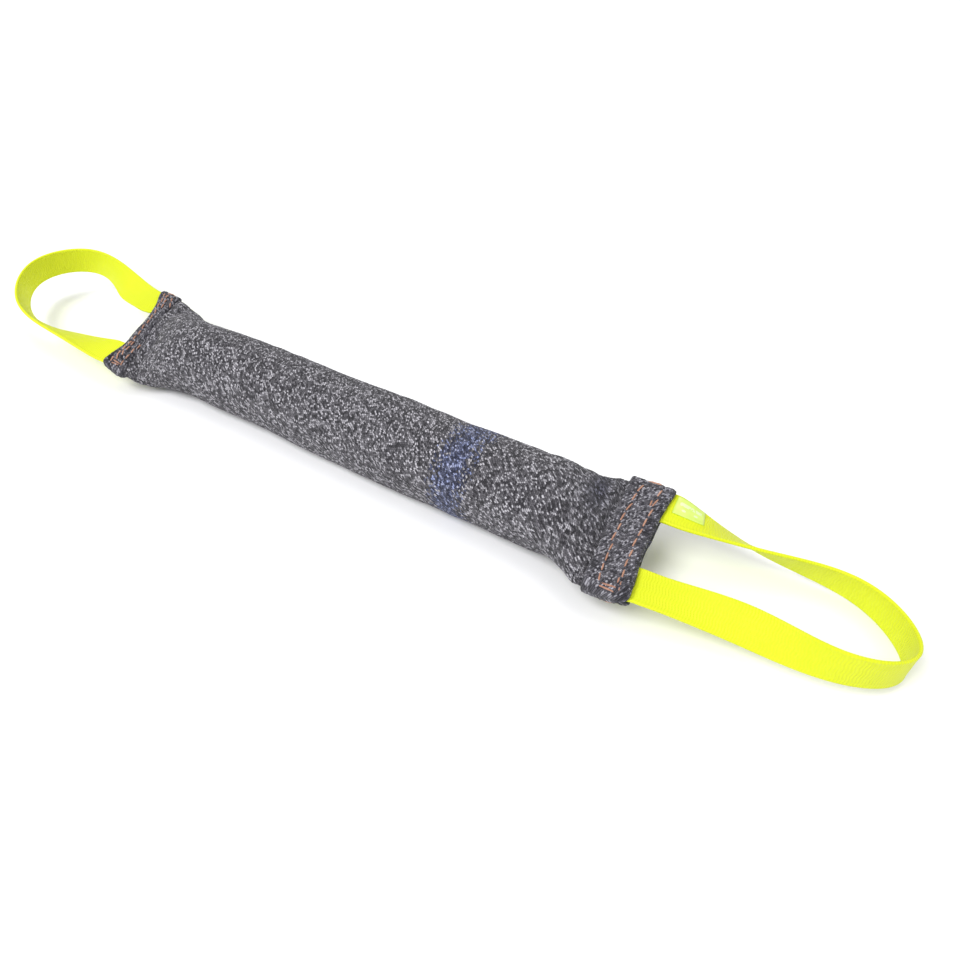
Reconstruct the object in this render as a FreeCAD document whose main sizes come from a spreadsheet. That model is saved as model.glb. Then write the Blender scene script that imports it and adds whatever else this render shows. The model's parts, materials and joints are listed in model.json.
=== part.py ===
import FreeCAD, Part
import math
import os

# Training bumper: a stuffed cloth sleeve, flat and sewn at both ends, with a webbing handle
# loop at each end. X runs along the sleeve, Y across it, Z up. The origin is the middle of
# the flattened underside that the sleeve rests on. Sizes are millimetres and degrees.

os.makedirs("parts", exist_ok=True)
doc = FreeCAD.newDocument("training_bumper")
V = FreeCAD.Vector

# ---------------------------------------------------------------- driving dimensions
DIMENSIONS = {
    "sleeve_length": 300.0,      # end edge to end edge
    "oval_width": 43.0,          # stuffed middle, across
    "oval_height": 38.0,         # stuffed middle, before it flattens on the floor
    "rest_depth": 0.8,           # how far the underside is flattened
    "flat_width": 58.0,          # sewn flat end, across
    "seam_height": 21.5,         # middle of the flat ends above the floor
    "cloth": 1.6,                # one ply of the sleeve cloth
    "flare_length": 34.0,        # from the full oval to the flat end
    "end_roll": 11.0,            # both flat ends lie rolled about X
    "left_skew": 12.0,           # left end edge, turned in plan
    "right_skew": 5.0,           # right end edge, turned in plan
    "left_hem_depth": 13.0,
    "left_hem_thickness": 7.0,
    "right_cuff_depth": 20.0,
    "right_cuff_thickness": 9.0,
    "end_wall": 2.0,             # folded cloth beyond the sleeve's own end
    "tail_inset": 1.0,           # webbing tail short of the inner edge of the hem
    "webbing_width": 16.0,
    "webbing_thickness": 1.4,
    "strap_inset": 1.0,          # webbing edge to the side of the flat end
    "hinge_gap": 1.0,            # from the end edge to the line the handle turns about
    "left_reach": 101.0,         # handle loop beyond the hinge line
    "right_reach": 110.0,
    "thread_radius": 0.45,
    "stitch_length": 3.4,
    "stitch_pitch": 4.4,
    "stitch_sink": 0.15,         # thread pressed into the cloth
    "left_outer_row": 4.0,       # stitch rows, from the end edge
    "left_inner_row": 9.5,
    "right_outer_row": 5.0,
    "right_inner_row": 13.5,
    "allowance_depth": 8.0,      # lengthwise seam, turned inside
    "allowance_length": 190.0,
    "seam_pitch": 6.0,
    "tack_margin": 2.0,          # bar tack to the outer edge of the webbing
    "label_length": 12.0,
    "label_width": 9.0,
    "label_thickness": 0.5,
    "label_start": 2.0,
}

sheet = doc.addObject("Spreadsheet::Sheet", "dims")
for row, (alias, value) in enumerate(DIMENSIONS.items(), start=1):
    sheet.set(f"A{row}", alias)
    sheet.set(f"B{row}", str(value))
    sheet.setAlias(f"B{row}", alias)
doc.recompute()


def dim(alias):
    """A driving dimension, read back from the sheet."""
    return float(sheet.get(alias))


def bind(obj, **expressions):
    """Tie properties of an object to the sheet."""
    for prop, expression in expressions.items():
        obj.setExpression(prop, expression)


# ---------------------------------------------------------------- the two flat ends
# Each end has its own frame: origin in the middle of the end edge, x along the sleeve
# towards +X, y along the end edge, z through the layers of cloth.
OVAL_CENTRE_Z = dim("oval_height") / 2 - dim("rest_depth")
ENDS = {
    "left": {"side": -1, "skew": dim("left_skew"), "depth": "dims.left_hem_depth",
             "thickness": "dims.left_hem_thickness", "reach": dim("left_reach")},
    "right": {"side": 1, "skew": dim("right_skew"), "depth": "dims.right_cuff_depth",
              "thickness": "dims.right_cuff_thickness", "reach": dim("right_reach")},
}
for end in ENDS.values():
    end["depth_mm"] = dim(end["depth"].split(".")[1])
    end["thickness_mm"] = dim(end["thickness"].split(".")[1])


def turned(end, share):
    """Rotation of a cross-section: none in the middle of the sleeve, full at an end."""
    skew = FreeCAD.Rotation(V(0, 0, 1), end["skew"] * share)
    roll = FreeCAD.Rotation(V(1, 0, 0), dim("end_roll") * share)
    return skew.multiply(roll)


def end_frame(end):
    """Placement of an end's own frame."""
    centre = V(end["side"] * dim("sleeve_length") / 2, 0, dim("seam_height"))
    return FreeCAD.Placement(centre, turned(end, 1.0))


def in_end(end, outward, across, through):
    """Placement of a point of an end's frame: outward is beyond the end edge."""
    local = FreeCAD.Placement(V(end["side"] * outward, across, through), FreeCAD.Rotation())
    return end_frame(end).multiply(local)


def end_box(name, end, outward_from, length, width, thickness, across=0.0):
    """A box in an end's frame, centred across and through. Sizes are sheet expressions."""
    box = doc.addObject("Part::Box", name)
    bind(box, Length=length, Width=width, Height=thickness)
    doc.recompute()
    first = outward_from if end["side"] > 0 else outward_from + box.Length.Value
    box.Placement = in_end(end, first, across - box.Width.Value / 2, -box.Height.Value / 2)
    return box


# ---------------------------------------------------------------- sleeve and cavity lofts
# Each station of a flare: how far along it (0 at the flat end) and how flat it still is.
FLARE_STATIONS = [(0.0, 1.0), (0.22, 0.86), (0.5, 0.5), (0.78, 0.14), (1.0, 0.0)]
# An ellipse's long axis goes to Y and its normal to -X, the way the lofts run.
SECTION_AXES = FreeCAD.Rotation(V(1, 1, 1), 120).multiply(FreeCAD.Rotation(V(1, 0, 0), 180))


def section(name, end, along, flat, inset):
    """One ellipse of a loft. flat is 1 at the sewn end and 0 at the full oval."""
    ellipse = doc.addObject("Part::Ellipse", name)
    bind(ellipse,
         MajorRadius=f"(dims.flat_width * {flat} + dims.oval_width * {1 - flat}) / 2 - {inset}",
         MinorRadius=f"({end['thickness']} * {flat} + dims.oval_height * {1 - flat}) / 2 - {inset}")
    hem_back = in_end(end, -end["depth_mm"], 0, 0).Base
    oval_start = V(hem_back.x - end["side"] * dim("flare_length"), 0, OVAL_CENTRE_Z)
    heading = hem_back.x + (oval_start.x - hem_back.x) * along
    centre = V(heading, hem_back.y * flat, hem_back.z * flat + oval_start.z * (1 - flat))
    ellipse.Placement = FreeCAD.Placement(centre, turned(end, flat).multiply(SECTION_AXES))
    return ellipse


def sleeve_loft(name, inset, stations):
    """Closed body through the stations of both flares, inset by a wall."""
    sections = []
    for key, order in (("right", 1), ("left", -1)):
        for along, flat in stations[::order]:
            tag = f"{name}_{key}_{int(along * 100)}"
            sections.append(section(tag, ENDS[key], along, flat, inset))
    loft = doc.addObject("Part::Loft", name)
    loft.Sections = sections
    loft.Solid = True
    loft.Ruled = True
    return loft


def cut(name, base, tools):
    """Base with every tool taken away."""
    tool = tools[0]
    if len(tools) > 1:
        tool = doc.addObject("Part::MultiFuse", f"{name}_tools")
        tool.Shapes = tools
    result = doc.addObject("Part::Cut", name)
    result.Base = base
    result.Tool = tool
    return result


outer_loft = sleeve_loft("outer_form", "0", FLARE_STATIONS)
cavity = sleeve_loft("cavity_form", "dims.cloth", FLARE_STATIONS[1:])

floor = doc.addObject("Part::Box", "floor_form")
bind(floor, Length="dims.sleeve_length", Width="dims.flat_width * 2", Height="dims.oval_height")
floor.Placement.Base = V(-dim("sleeve_length") / 2, -dim("flat_width"), -dim("oval_height"))

# ---------------------------------------------------------------- ends: tongues, tails, hems
STRAPS = {"near": -1, "far": 1}
strap_centre = dim("flat_width") / 2 - dim("strap_inset") - dim("webbing_width") / 2
subparts = {}
tails = {}
tongues = {}
for key, end in ENDS.items():
    tongues[key] = end_box(f"{key}_tongue", end, -end["depth_mm"], f"{end['depth']} - dims.end_wall",
                           "dims.flat_width - dims.cloth * 2",
                           "dims.cloth * 2 + dims.webbing_thickness")
    for strap, sign in STRAPS.items():
        name = f"{key}_handle_{strap}_tail"
        tails[key, strap] = end_box(name, end, dim("tail_inset") - end["depth_mm"],
                                    f"{end['depth']} - dims.tail_inset", "dims.webbing_width",
                                    "dims.webbing_thickness", sign * strap_centre)
        subparts[name] = tails[key, strap]

sleeve_body = doc.addObject("Part::MultiFuse", "sleeve_body")
sleeve_body.Shapes = [outer_loft, tongues["left"], tongues["right"]]
subparts["outer_sleeve"] = cut("outer_sleeve", sleeve_body, [cavity, floor] + list(tails.values()))

HEM_NAMES = {"left": "left_end_hem", "right": "right_end_cuff"}
FOLD_SHARE = 0.36                    # a fold's radius as a share of the hem's thickness
PARALLEL = 0.99                      # least cosine between two directions that count as one
for key, end in ENDS.items():
    band = end_box(f"{key}_band", end, -end["depth_mm"], end["depth"], "dims.flat_width",
                   end["thickness"])
    doc.recompute()
    axis = end_frame(end).Rotation.multVec(V(0, 1, 0))
    fold = FOLD_SHARE * end["thickness_mm"]
    long_edges = [(number, fold, fold) for number, edge in enumerate(band.Shape.Edges, start=1)
                  if abs(edge.tangentAt(0).dot(axis)) > PARALLEL]
    rounded = doc.addObject("Part::Fillet", f"{key}_rounded")
    rounded.Base = band
    rounded.Edges = long_edges
    own_tails = [tails[key, strap] for strap in STRAPS]
    subparts[HEM_NAMES[key]] = cut(HEM_NAMES[key], rounded, [tongues[key]] + own_tails)

# ---------------------------------------------------------------- stuffing, seam allowance
allowance_box = doc.addObject("Part::Box", "allowance_form")
bind(allowance_box, Length="dims.allowance_length", Width="dims.allowance_depth + dims.cloth",
     Height="dims.cloth * 2")
allowance_edge = dim("oval_width") / 2 - dim("cloth") - dim("allowance_depth")
allowance_box.Placement.Base = V(-dim("allowance_length") / 2, allowance_edge,
                                 OVAL_CENTRE_Z - dim("cloth"))
allowance = doc.addObject("Part::Common", "seam_allowance")
allowance.Base = allowance_box
allowance.Tool = cavity
subparts["seam_allowance"] = allowance
subparts["stuffing_core"] = cut("stuffing_core", cavity, [allowance, floor])


# ---------------------------------------------------------------- thread
def thread_group(name, placements):
    """A node of separate stitches: one short cylinder along Z of each placement."""
    stitches = []
    for number, (placement, length) in enumerate(placements):
        stitch = doc.addObject("Part::Cylinder", f"{name}_{number}")
        bind(stitch, Radius="dims.thread_radius", Height=length)
        stitch.Placement = placement
        stitches.append(stitch)
    group = doc.addObject("Part::Compound", name)
    group.Links = stitches
    subparts[name] = group


def surface_level(end):
    """Height of a stitch's centre line above an end's middle plane."""
    return end["thickness_mm"] / 2 + dim("thread_radius") - dim("stitch_sink")


def row_placements(end, from_edge):
    """Stitches of one row, on both faces of an end."""
    run = dim("flat_width") - 2 * dim("strap_inset")
    count = int(run // dim("stitch_pitch"))
    start = -count * dim("stitch_pitch") / 2
    along_edge = FreeCAD.Placement(V(0, 0, 0), FreeCAD.Rotation(V(1, 0, 0), -90))
    placements = []
    for face in (-1, 1):
        for number in range(count):
            across = start + number * dim("stitch_pitch")
            spot = in_end(end, -from_edge, across, face * surface_level(end))
            placements.append((spot.multiply(along_edge), "dims.stitch_length"))
    return placements


BAR_SPACING = 3.0                    # two bars of a pair, in thread radii


def tack_placements(end, sign, outer_row, inner_row):
    """Two bars beside the outer edge of one strap, between an end's two rows, on both faces."""
    clear = 2 * dim("thread_radius")
    length = f"{inner_row - outer_row - 2 * clear:.3f}"
    bar_edge = dim("webbing_width") / 2 - dim("tack_margin")
    inward = FreeCAD.Placement(V(0, 0, 0), FreeCAD.Rotation(V(0, 1, 0), -90 * end["side"]))
    placements = []
    for face in (-1, 1):
        for twin in (-0.5, 0.5):
            across = sign * (strap_centre + bar_edge) + twin * BAR_SPACING * dim("thread_radius")
            spot = in_end(end, -outer_row - clear, across, face * surface_level(end))
            placements.append((spot.multiply(inward), length))
    return placements


for key, end in ENDS.items():
    outer_row = dim(f"{key}_outer_row")
    inner_row = dim(f"{key}_inner_row")
    thread_group(f"{key}_outer_stitch_row", row_placements(end, outer_row))
    thread_group(f"{key}_inner_stitch_row", row_placements(end, inner_row))
    for strap, sign in STRAPS.items():
        thread_group(f"{key}_{strap}_bar_tack", tack_placements(end, sign, outer_row, inner_row))

seam_count = int(dim("allowance_length") // dim("seam_pitch"))
seam_spots = []
for number in range(seam_count):
    along = (number - (seam_count - 1) / 2) * dim("seam_pitch")
    spot = V(along, allowance_edge + dim("allowance_depth") / 2, OVAL_CENTRE_Z - dim("cloth"))
    seam_spots.append((FreeCAD.Placement(spot, FreeCAD.Rotation()), "dims.cloth * 2"))
thread_group("lengthwise_seam_thread", seam_spots)

# ---------------------------------------------------------------- handle loops
# The middle line of each loop is one cubic B-spline from the near strap round to the far one.
# Inner control points: share of the reach, across, height of the middle line above half the
# webbing's width. The webbing's lie is the angle of its width above the horizontal.
LOOPS = {
    "right": {"lead": 13.0, "near_exit": (0.18, 0.26), "far_exit": (0.05, 0.24),
              "points": [(0.37, -9, 4.2), (0.72, -22, 12), (1.0, 6, 1.0), (0.72, 40, -0.2),
                         (0.34, 28, 4.6)],
              "lie": [5, 86, 100, 78, 26]},
    "left": {"lead": 13.0, "near_exit": (0.2, 0.1), "far_exit": (0.42, 0.14),
             "points": [(0.34, -16, 5), (0.72, -21, 6), (1.0, 10, 15), (0.75, 44, 15),
                        (0.37, 29, 12.5)],
             "lie": [15, 44, 115, 88, 10]},
}
LOOP_STEPS = 40


def spline(poles, degree=3):
    """A clamped uniform B-spline of vectors, as a function of 0 to 1."""
    spans = len(poles) - degree
    curve = Part.BSplineCurve()
    curve.buildFromPolesMultsKnots(poles, [degree + 1] + [1] * (spans - 1) + [degree + 1],
                                   [number / spans for number in range(spans + 1)], False, degree)
    return curve


def loop_frames(key):
    """Centre, width direction and normal of the webbing at each step of a loop."""
    end = ENDS[key]
    side = end["side"]
    loop = LOOPS[key]
    rotation = end_frame(end).Rotation
    edge = rotation.multVec(V(0, 1, 0))
    outward = FreeCAD.Rotation(V(0, 0, 1), end["skew"]).multVec(V(side, 0, 0))
    hinge = in_end(end, dim("hinge_gap"), 0, 0).Base

    def exit_poles(sign, yaw, drop):
        first = hinge + edge * (sign * strap_centre)
        return first, first + (outward + edge * yaw - V(0, 0, drop)) * loop["lead"]

    near, near_lead = exit_poles(-1, *loop["near_exit"])
    far, far_lead = exit_poles(1, *loop["far_exit"])
    half = dim("webbing_width") / 2
    middle = [V(hinge.x + side * share * end["reach"], across, half + lift)
              for share, across, lift in loop["points"]]
    line = spline([near, near_lead] + middle + [far_lead, far])
    roll = side * dim("end_roll")
    lie = spline([V(angle, 0, 0) for angle in [roll] + loop["lie"] + [-roll]])
    frames = []
    for step in range(LOOP_STEPS + 1):
        at = step / LOOP_STEPS
        centre = line.value(at)
        tangent = V(*line.tangent(at)[0]).normalize()
        level = V(0, 0, 1).cross(tangent).normalize()
        upright = tangent.cross(level)
        angle = math.radians(lie.value(at).x)
        width = level * math.cos(angle) + upright * math.sin(angle)
        frames.append((centre, width, tangent.cross(width)))
    # The webbing leaves each exit flat, squared off along the hinge line.
    through = rotation.multVec(V(0, 0, 1))
    frames[0] = (near, edge * side, through)
    frames[-1] = (far, edge * -side, through)
    return frames


def strip(frames, from_width, to_width, from_normal, to_normal):
    """Solid strip through frames, between two offsets across and two through."""
    wires = []
    for centre, width, normal in frames:
        corners = [centre + width * across + normal * through for across, through in
                   ((from_width, from_normal), (to_width, from_normal),
                    (to_width, to_normal), (from_width, to_normal))]
        wires.append(Part.makePolygon(corners + corners[:1]))
    return Part.makeLoft(wires, True, True)


def strip_object(name, shape):
    """A sub-part whose shape is a strip."""
    feature = doc.addObject("Part::Feature", name)
    feature.Shape = shape
    feature.Placement = FreeCAD.Placement()
    subparts[name] = feature


half_width = dim("webbing_width") / 2
half_thickness = dim("webbing_thickness") / 2
loops = {key: loop_frames(key) for key in ENDS}
for key, frames in loops.items():
    strip_object(f"{key}_handle_webbing",
                 strip(frames, -half_width, half_width, -half_thickness, half_thickness))


def travelled(frames):
    """Distance along the frames from the first one."""
    distances = [0.0]
    for before, after in zip(frames, frames[1:]):
        distances.append(distances[-1] + before[0].distanceToPoint(after[0]))
    return distances


# The label lies on the far strap of the right handle, just beyond the hinge line.
from_far = list(reversed(loops["right"]))
run = travelled(from_far)
label_frames = [frame for frame, gone in zip(from_far, run)
                if dim("label_start") <= gone <= dim("label_start") + dim("label_length")]
strip_object("size_label", strip(label_frames, -half_width + dim("strap_inset"),
                                 -half_width + dim("strap_inset") + dim("label_width"),
                                 half_thickness, half_thickness + dim("label_thickness")))

# ---------------------------------------------------------------- checks and export
doc.recompute()
for name, obj in subparts.items():
    obj.Label = name
for obj in doc.Objects:
    bad = [state for state in obj.State if state in ("Invalid", "Error")]
    if bad:
        raise SystemExit(f"{obj.Name}: {bad}")
for name, obj in subparts.items():
    shape = obj.Shape
    if shape.isNull() or not shape.isValid() or not shape.Solids:
        raise SystemExit(f"{name}: no valid solid")
    shape.exportStep(f"parts/{name}.step")
    box = shape.BoundBox
    print(f"{name}: {len(shape.Solids)} solids, {shape.Volume:.0f} mm3, "
          f"x {box.XMin:.1f} {box.XMax:.1f} y {box.YMin:.1f} {box.YMax:.1f} "
          f"z {box.ZMin:.1f} {box.ZMax:.1f}")
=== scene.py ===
import json
import math

import bpy
import numpy as np
from mathutils import Matrix, Vector
from mathutils.bvhtree import BVHTree


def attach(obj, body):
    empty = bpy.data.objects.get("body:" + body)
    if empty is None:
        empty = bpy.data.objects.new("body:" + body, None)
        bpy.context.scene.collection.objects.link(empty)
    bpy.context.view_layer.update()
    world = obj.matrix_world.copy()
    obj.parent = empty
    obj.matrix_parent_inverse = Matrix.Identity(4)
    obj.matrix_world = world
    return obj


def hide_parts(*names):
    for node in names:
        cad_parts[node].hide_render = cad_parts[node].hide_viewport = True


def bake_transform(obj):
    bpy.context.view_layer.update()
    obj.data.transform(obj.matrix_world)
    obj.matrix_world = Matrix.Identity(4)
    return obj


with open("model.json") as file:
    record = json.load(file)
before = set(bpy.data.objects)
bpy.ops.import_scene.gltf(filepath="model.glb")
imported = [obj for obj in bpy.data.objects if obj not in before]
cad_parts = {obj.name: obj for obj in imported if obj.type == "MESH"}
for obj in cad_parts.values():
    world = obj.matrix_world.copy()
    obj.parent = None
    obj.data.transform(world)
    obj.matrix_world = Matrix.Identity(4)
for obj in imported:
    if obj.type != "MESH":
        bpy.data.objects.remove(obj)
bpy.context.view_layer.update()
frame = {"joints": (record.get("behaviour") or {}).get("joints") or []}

# Training bumper: a stuffed cloth sleeve with a sewn hem at the left end, a folded cuff at
# the right end, and a neon webbing handle loop at each end. Metres throughout.
MM = 0.001
RANDOM = np.random.default_rng(11)

# ---------------------------------------------------------------- sizes, as the frame has them
HALF_LENGTH = 150 * MM
FLAT_HALF_WIDTH = 29 * MM
OVAL_HALF_WIDTH = 21.5 * MM
OVAL_HALF_HEIGHT = 19 * MM
FLARE_LENGTH = 34 * MM
HINGE_GAP = 1 * MM
WEBBING_WIDTH = 16 * MM
WEBBING_THICKNESS = 1.4 * MM
STRAP_CENTRE = 20 * MM
END_ROLL = 11.0
BAND = (0.0555, 0.0690)               # the navy stripe, along X


def unit(vectors):
    return vectors / np.linalg.norm(vectors, axis=-1, keepdims=True)


def smooth(value, low, high):
    """0 below low, 1 above high, and smooth between."""
    share = np.clip((value - low) / (high - low), 0, 1)
    return share * share * (3 - 2 * share)


# spans inward from the end edge over which an end's sag and pull set in and fade out
SAG_STARTS, SAG_ENDS = (-2 * MM, 11 * MM), (13 * MM, 34 * MM)
PULL_STARTS, PULL_ENDS = (3 * MM, 12 * MM), (14 * MM, 30 * MM)


class End:
    """A sewn flat end: its middle, and unit vectors along the sleeve, along the edge, through."""

    def __init__(self, key, side, depth, thickness, rows, bow, corner, stitch, pull, top_flare,
                 strip, flares, sag):
        joint = next(j for j in frame["joints"] if j["name"] == f"{key}_handle_swing")
        self.key = key
        self.side = side
        self.depth = depth * MM
        self.thickness = thickness * MM
        self.rows = [row * MM for row in rows]
        self.bow = bow * MM              # how far the end edge curves in at its middle
        self.corner = corner * MM
        self.stitch = stitch             # a row stitch's length in millimetres
        self.pull = pull * MM            # how far the hem's far corner is drawn in
        self.top_flare = top_flare * MM  # where the filling reaches its full height
        self.strip = strip               # how much darker the outer fold is
        self.near_flare, self.far_flare, self.under_flare = (flare * MM for flare in flares)
        self.sag_out, self.sag_down = (amount * MM for amount in sag)
        self.edge = unit(np.array(joint["axis"])) * -side
        self.along = unit(np.cross(self.edge, (0, 0, 1)))
        self.through = np.cross(self.along, self.edge)
        self.hinge = np.array(joint["pos_m"])
        self.origin = self.hinge - self.along * side * HINGE_GAP

    def at(self, outward, across, through):
        """Points of the end's own frame. outward is beyond the end edge."""
        outward, across, through = np.broadcast_arrays(outward, across, through)
        return (self.origin + self.along * (self.side * outward)[..., None]
                + self.edge * across[..., None] + self.through * through[..., None])

    def sagged(self, points):
        """Points with the near side of the end let down and out, as the filling pulls it."""
        local = points - self.origin
        inward = -self.side * (local @ self.along)
        across = local @ self.edge
        share = smooth(inward, *SAG_STARTS) * (1 - smooth(inward, *SAG_ENDS))
        share = share * smooth(-across, 2 * MM, FLAT_HALF_WIDTH)
        shift = -self.sag_out * self.edge - self.sag_down * np.array([0, 0, 1.0])
        pulled = smooth(inward, *PULL_STARTS) * (1 - smooth(inward, *PULL_ENDS))
        pulled = pulled * smooth(across, 10 * MM, FLAT_HALF_WIDTH) * self.pull
        return points + share[..., None] * shift - pulled[..., None] * self.edge

    def edge_offset(self, across):
        """How far beyond the straight end line the curved edge lies, never above 0."""
        share = np.clip(np.abs(across) / FLAT_HALF_WIDTH, 0, 1)
        bowed = -self.bow * (1 - share ** 2)
        into = np.clip((np.abs(across) - FLAT_HALF_WIDTH + self.corner) / self.corner, 0, 1)
        return bowed - self.corner * (1 - np.sqrt(1 - into ** 2))


LEFT = End("left", -1, depth=13, thickness=6.2, rows=(4, 9.5), bow=5.0, corner=1.6, stitch=3.2,
           pull=2.2, top_flare=36, strip=0.55, flares=(40, 24, 19), sag=(2.2, 3.5))
RIGHT = End("right", 1, depth=20, thickness=9.2, rows=(5, 13.5), bow=2.6, corner=2.6, stitch=4.4,
            pull=0.0, top_flare=31, strip=0.3, flares=(20, 42, 32), sag=(0.4, 1.4))
ENDS = (LEFT, RIGHT)


# ---------------------------------------------------------------- mesh helpers
def grid_mesh(name, points, weave=None, shade=None):
    """A mesh from points[row, column], its columns closed. Its ends are closed by a fan each."""
    rows, columns = points.shape[:2]
    flat = points.reshape(-1, 3)
    index = np.arange(rows * columns).reshape(rows, columns)
    this_row, after_row = index[:-1], index[1:]
    quads = np.stack([this_row, np.roll(this_row, -1, axis=1),
                      np.roll(after_row, -1, axis=1), after_row], axis=-1).reshape(-1, 4)
    faces = quads.tolist()
    flat = np.concatenate([flat, points[0].mean(0)[None], points[-1].mean(0)[None]])
    first, last = rows * columns, rows * columns + 1
    for column in range(columns):
        beside = (column + 1) % columns
        faces.append([index[0, beside], index[0, column], first])
        faces.append([index[-1, column], index[-1, beside], last])
    mesh = bpy.data.meshes.new(name)
    mesh.from_pydata(flat.tolist(), [], faces)
    if weave is not None:
        layer = mesh.uv_layers.new(name="weave")
        wrapped = np.concatenate([weave, 2 * weave[:, -1:] - weave[:, -2:-1]], axis=1)
        row_of, column_of = np.divmod(quads[:, 0], columns)
        corners = [(row_of, column_of), (row_of, column_of + 1),
                   (row_of + 1, column_of + 1), (row_of + 1, column_of)]
        values = np.zeros((len(mesh.loops), 2))
        on_quads = np.stack([wrapped[r, c] for r, c in corners], axis=1).reshape(-1, 2)
        values[:len(on_quads)] = on_quads
        layer.data.foreach_set("uv", values.astype(np.float32).ravel())
    # shade per point, read by the cloth material: painted shade in creases, pleats, the seam and the hem
    # mouths, and the hems' darker outer strip
    if shade is not None:
        shade_layer = mesh.attributes.new("shade", "FLOAT", "POINT")
        values = np.zeros(len(mesh.vertices), np.float32)
        values[:shade.size] = shade.ravel()
        shade_layer.data.foreach_set("value", values)
    mesh.validate()
    mesh.update()
    mesh.shade_smooth()
    piece = bpy.data.objects.new(name, mesh)
    bpy.context.scene.collection.objects.link(piece)
    return piece


def face_outward(piece):
    """Turns a closed mesh's faces outward."""
    bpy.context.view_layer.objects.active = piece
    bpy.ops.object.select_all(action="DESELECT")
    piece.select_set(True)
    bpy.ops.object.mode_set(mode="EDIT")
    bpy.ops.mesh.select_all(action="SELECT")
    bpy.ops.mesh.normals_make_consistent(inside=False)
    bpy.ops.object.mode_set(mode="OBJECT")


def resampled(points, count, closed):
    """Catmull-Rom through the first axis of points, at count even steps."""
    size = len(points)
    if closed:
        at = np.arange(count) * size / count
    else:
        at = np.linspace(0, size - 1, count)
    base = np.floor(at).astype(int)
    if not closed:
        base = np.minimum(base, size - 2)
    t = (at - base).reshape((-1,) + (1,) * (points.ndim - 1))

    def pick(step):
        where = base + step
        return points[where % size] if closed else points[np.clip(where, 0, size - 1)]

    p0, p1, p2, p3 = (pick(step) for step in (-1, 0, 1, 2))
    return 0.5 * (2 * p1 + (p2 - p0) * t + (2 * p0 - 5 * p1 + 4 * p2 - p3) * t ** 2
                  + (3 * p1 - p0 - 3 * p2 + p3) * t ** 3)


def soft_noise(rows, columns, across_rows, across_columns):
    """Smooth random values from about -1 to 1 on a grid, with that many lumps each way."""
    coarse = RANDOM.uniform(-1, 1, (across_rows, across_columns))
    tall = resampled(coarse, rows, False)
    return resampled(tall.T, columns, True).T


def grid_normals(points):
    """Unit normals of points[row, column], its columns closed. Their sign follows the columns."""
    along = np.gradient(points, axis=0)
    around = (np.roll(points, -1, axis=1) - np.roll(points, 1, axis=1)) / 2
    return unit(np.cross(along, around) + 1e-15)


# ---------------------------------------------------------------- weave
FLOAT_LENGTH = 1.08 * MM               # one yarn float on the face of the cloth
ROW_PITCH = 0.80 * MM
WALE_LEAN = 38.0                       # the floats' lean from the sleeve's length, in degrees
HEM_LEAN = 48.0                        # and on the folded ends
ROW_SHIFT = 0.46                       # each row of floats starts this much later
COARSER = 0.5                          # the relief's yarns against the coloured ones


def weave_coordinates(along, around, lean, wander):
    """Cloth coordinates in floats and rows, wandering a little as loose yarn does."""
    turn = math.radians(lean)
    a = (along * math.cos(turn) + around * math.sin(turn)) / FLOAT_LENGTH
    b = (around * math.cos(turn) - along * math.sin(turn)) / ROW_PITCH
    return np.stack([a + wander[0], b + wander[1]], axis=-1)


def weave_height(weave):
    """Height of the yarn, 0 in the gaps to 1 on top of a float."""
    row = np.floor(weave[..., 1])
    across = weave[..., 1] - row
    shifted = weave[..., 0] + row * ROW_SHIFT
    along = shifted - np.floor(shifted)
    return (1 - (2 * across - 1) ** 2) * (1 - (2 * along - 1) ** 4)


# ---------------------------------------------------------------- sleeve
SLEEVE_ROWS, SLEEVE_COLUMNS = 440, 200
CLOTH_ROWS, CLOTH_COLUMNS = 96, 44
FLOOR_PRESS = 0.8 * MM                 # cloth lower than this is pressed flat on the floor
INSIDE_HEM = 0.55                      # share of a hem's depth that the sleeve goes into
AROUND = 2 * math.pi * 20.3 * MM       # the sleeve's girth
SKIN = 0.8 * MM                        # the sleeve lies this far inside its hem and its outline
BEHIND_HEM = 1.2 * MM                  # flat cloth behind a hem before the filling starts
FILL_RISE = 0.8                        # under 1 makes the filling rise more steeply
FILL_FRAMES = 20
FILL_CAP = 1.3 * MM                    # the filling moves the cloth less than this
PINNED = (4, 5)                        # rows held at the left and the right end
SEAM_DEPTH, SEAM_WIDTH, SEAM_SHADE = 0.9 * MM, 0.9 * MM, 1.1 * MM
RELIEF = 0.24 * MM                     # yarn relief of the sleeve
PLEAT = 0.5 * MM


def section(near, far, height, lens, count):
    """Closed cross-section (across, up), evenly spaced from the far side over the top."""
    angle = np.linspace(0, 2 * math.pi, 721)
    across = np.where(np.cos(angle) > 0, far, near) * np.cos(angle)
    up = height * np.sin(angle) * np.abs(np.sin(angle)) ** lens
    run = np.concatenate([[0], np.cumsum(np.hypot(np.diff(across), np.diff(up)))])
    even = np.arange(count) * run[-1] / count
    return np.interp(even, run, across), np.interp(even, run, up)


BOW = 2.5 * MM                         # the middle lies this far to the far side
BOW_AT, BOW_SPAN = -62 * MM, 70 * MM
GIRTH_GROWTH = 0.33                    # the sleeve gets this much fuller per metre to the right


def quarter_wave(distance, length, power):
    """Rises fast from 0 and levels out at 1 at that length."""
    return math.sin(math.pi / 2 * min(1.0, distance / length)) ** power


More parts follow.
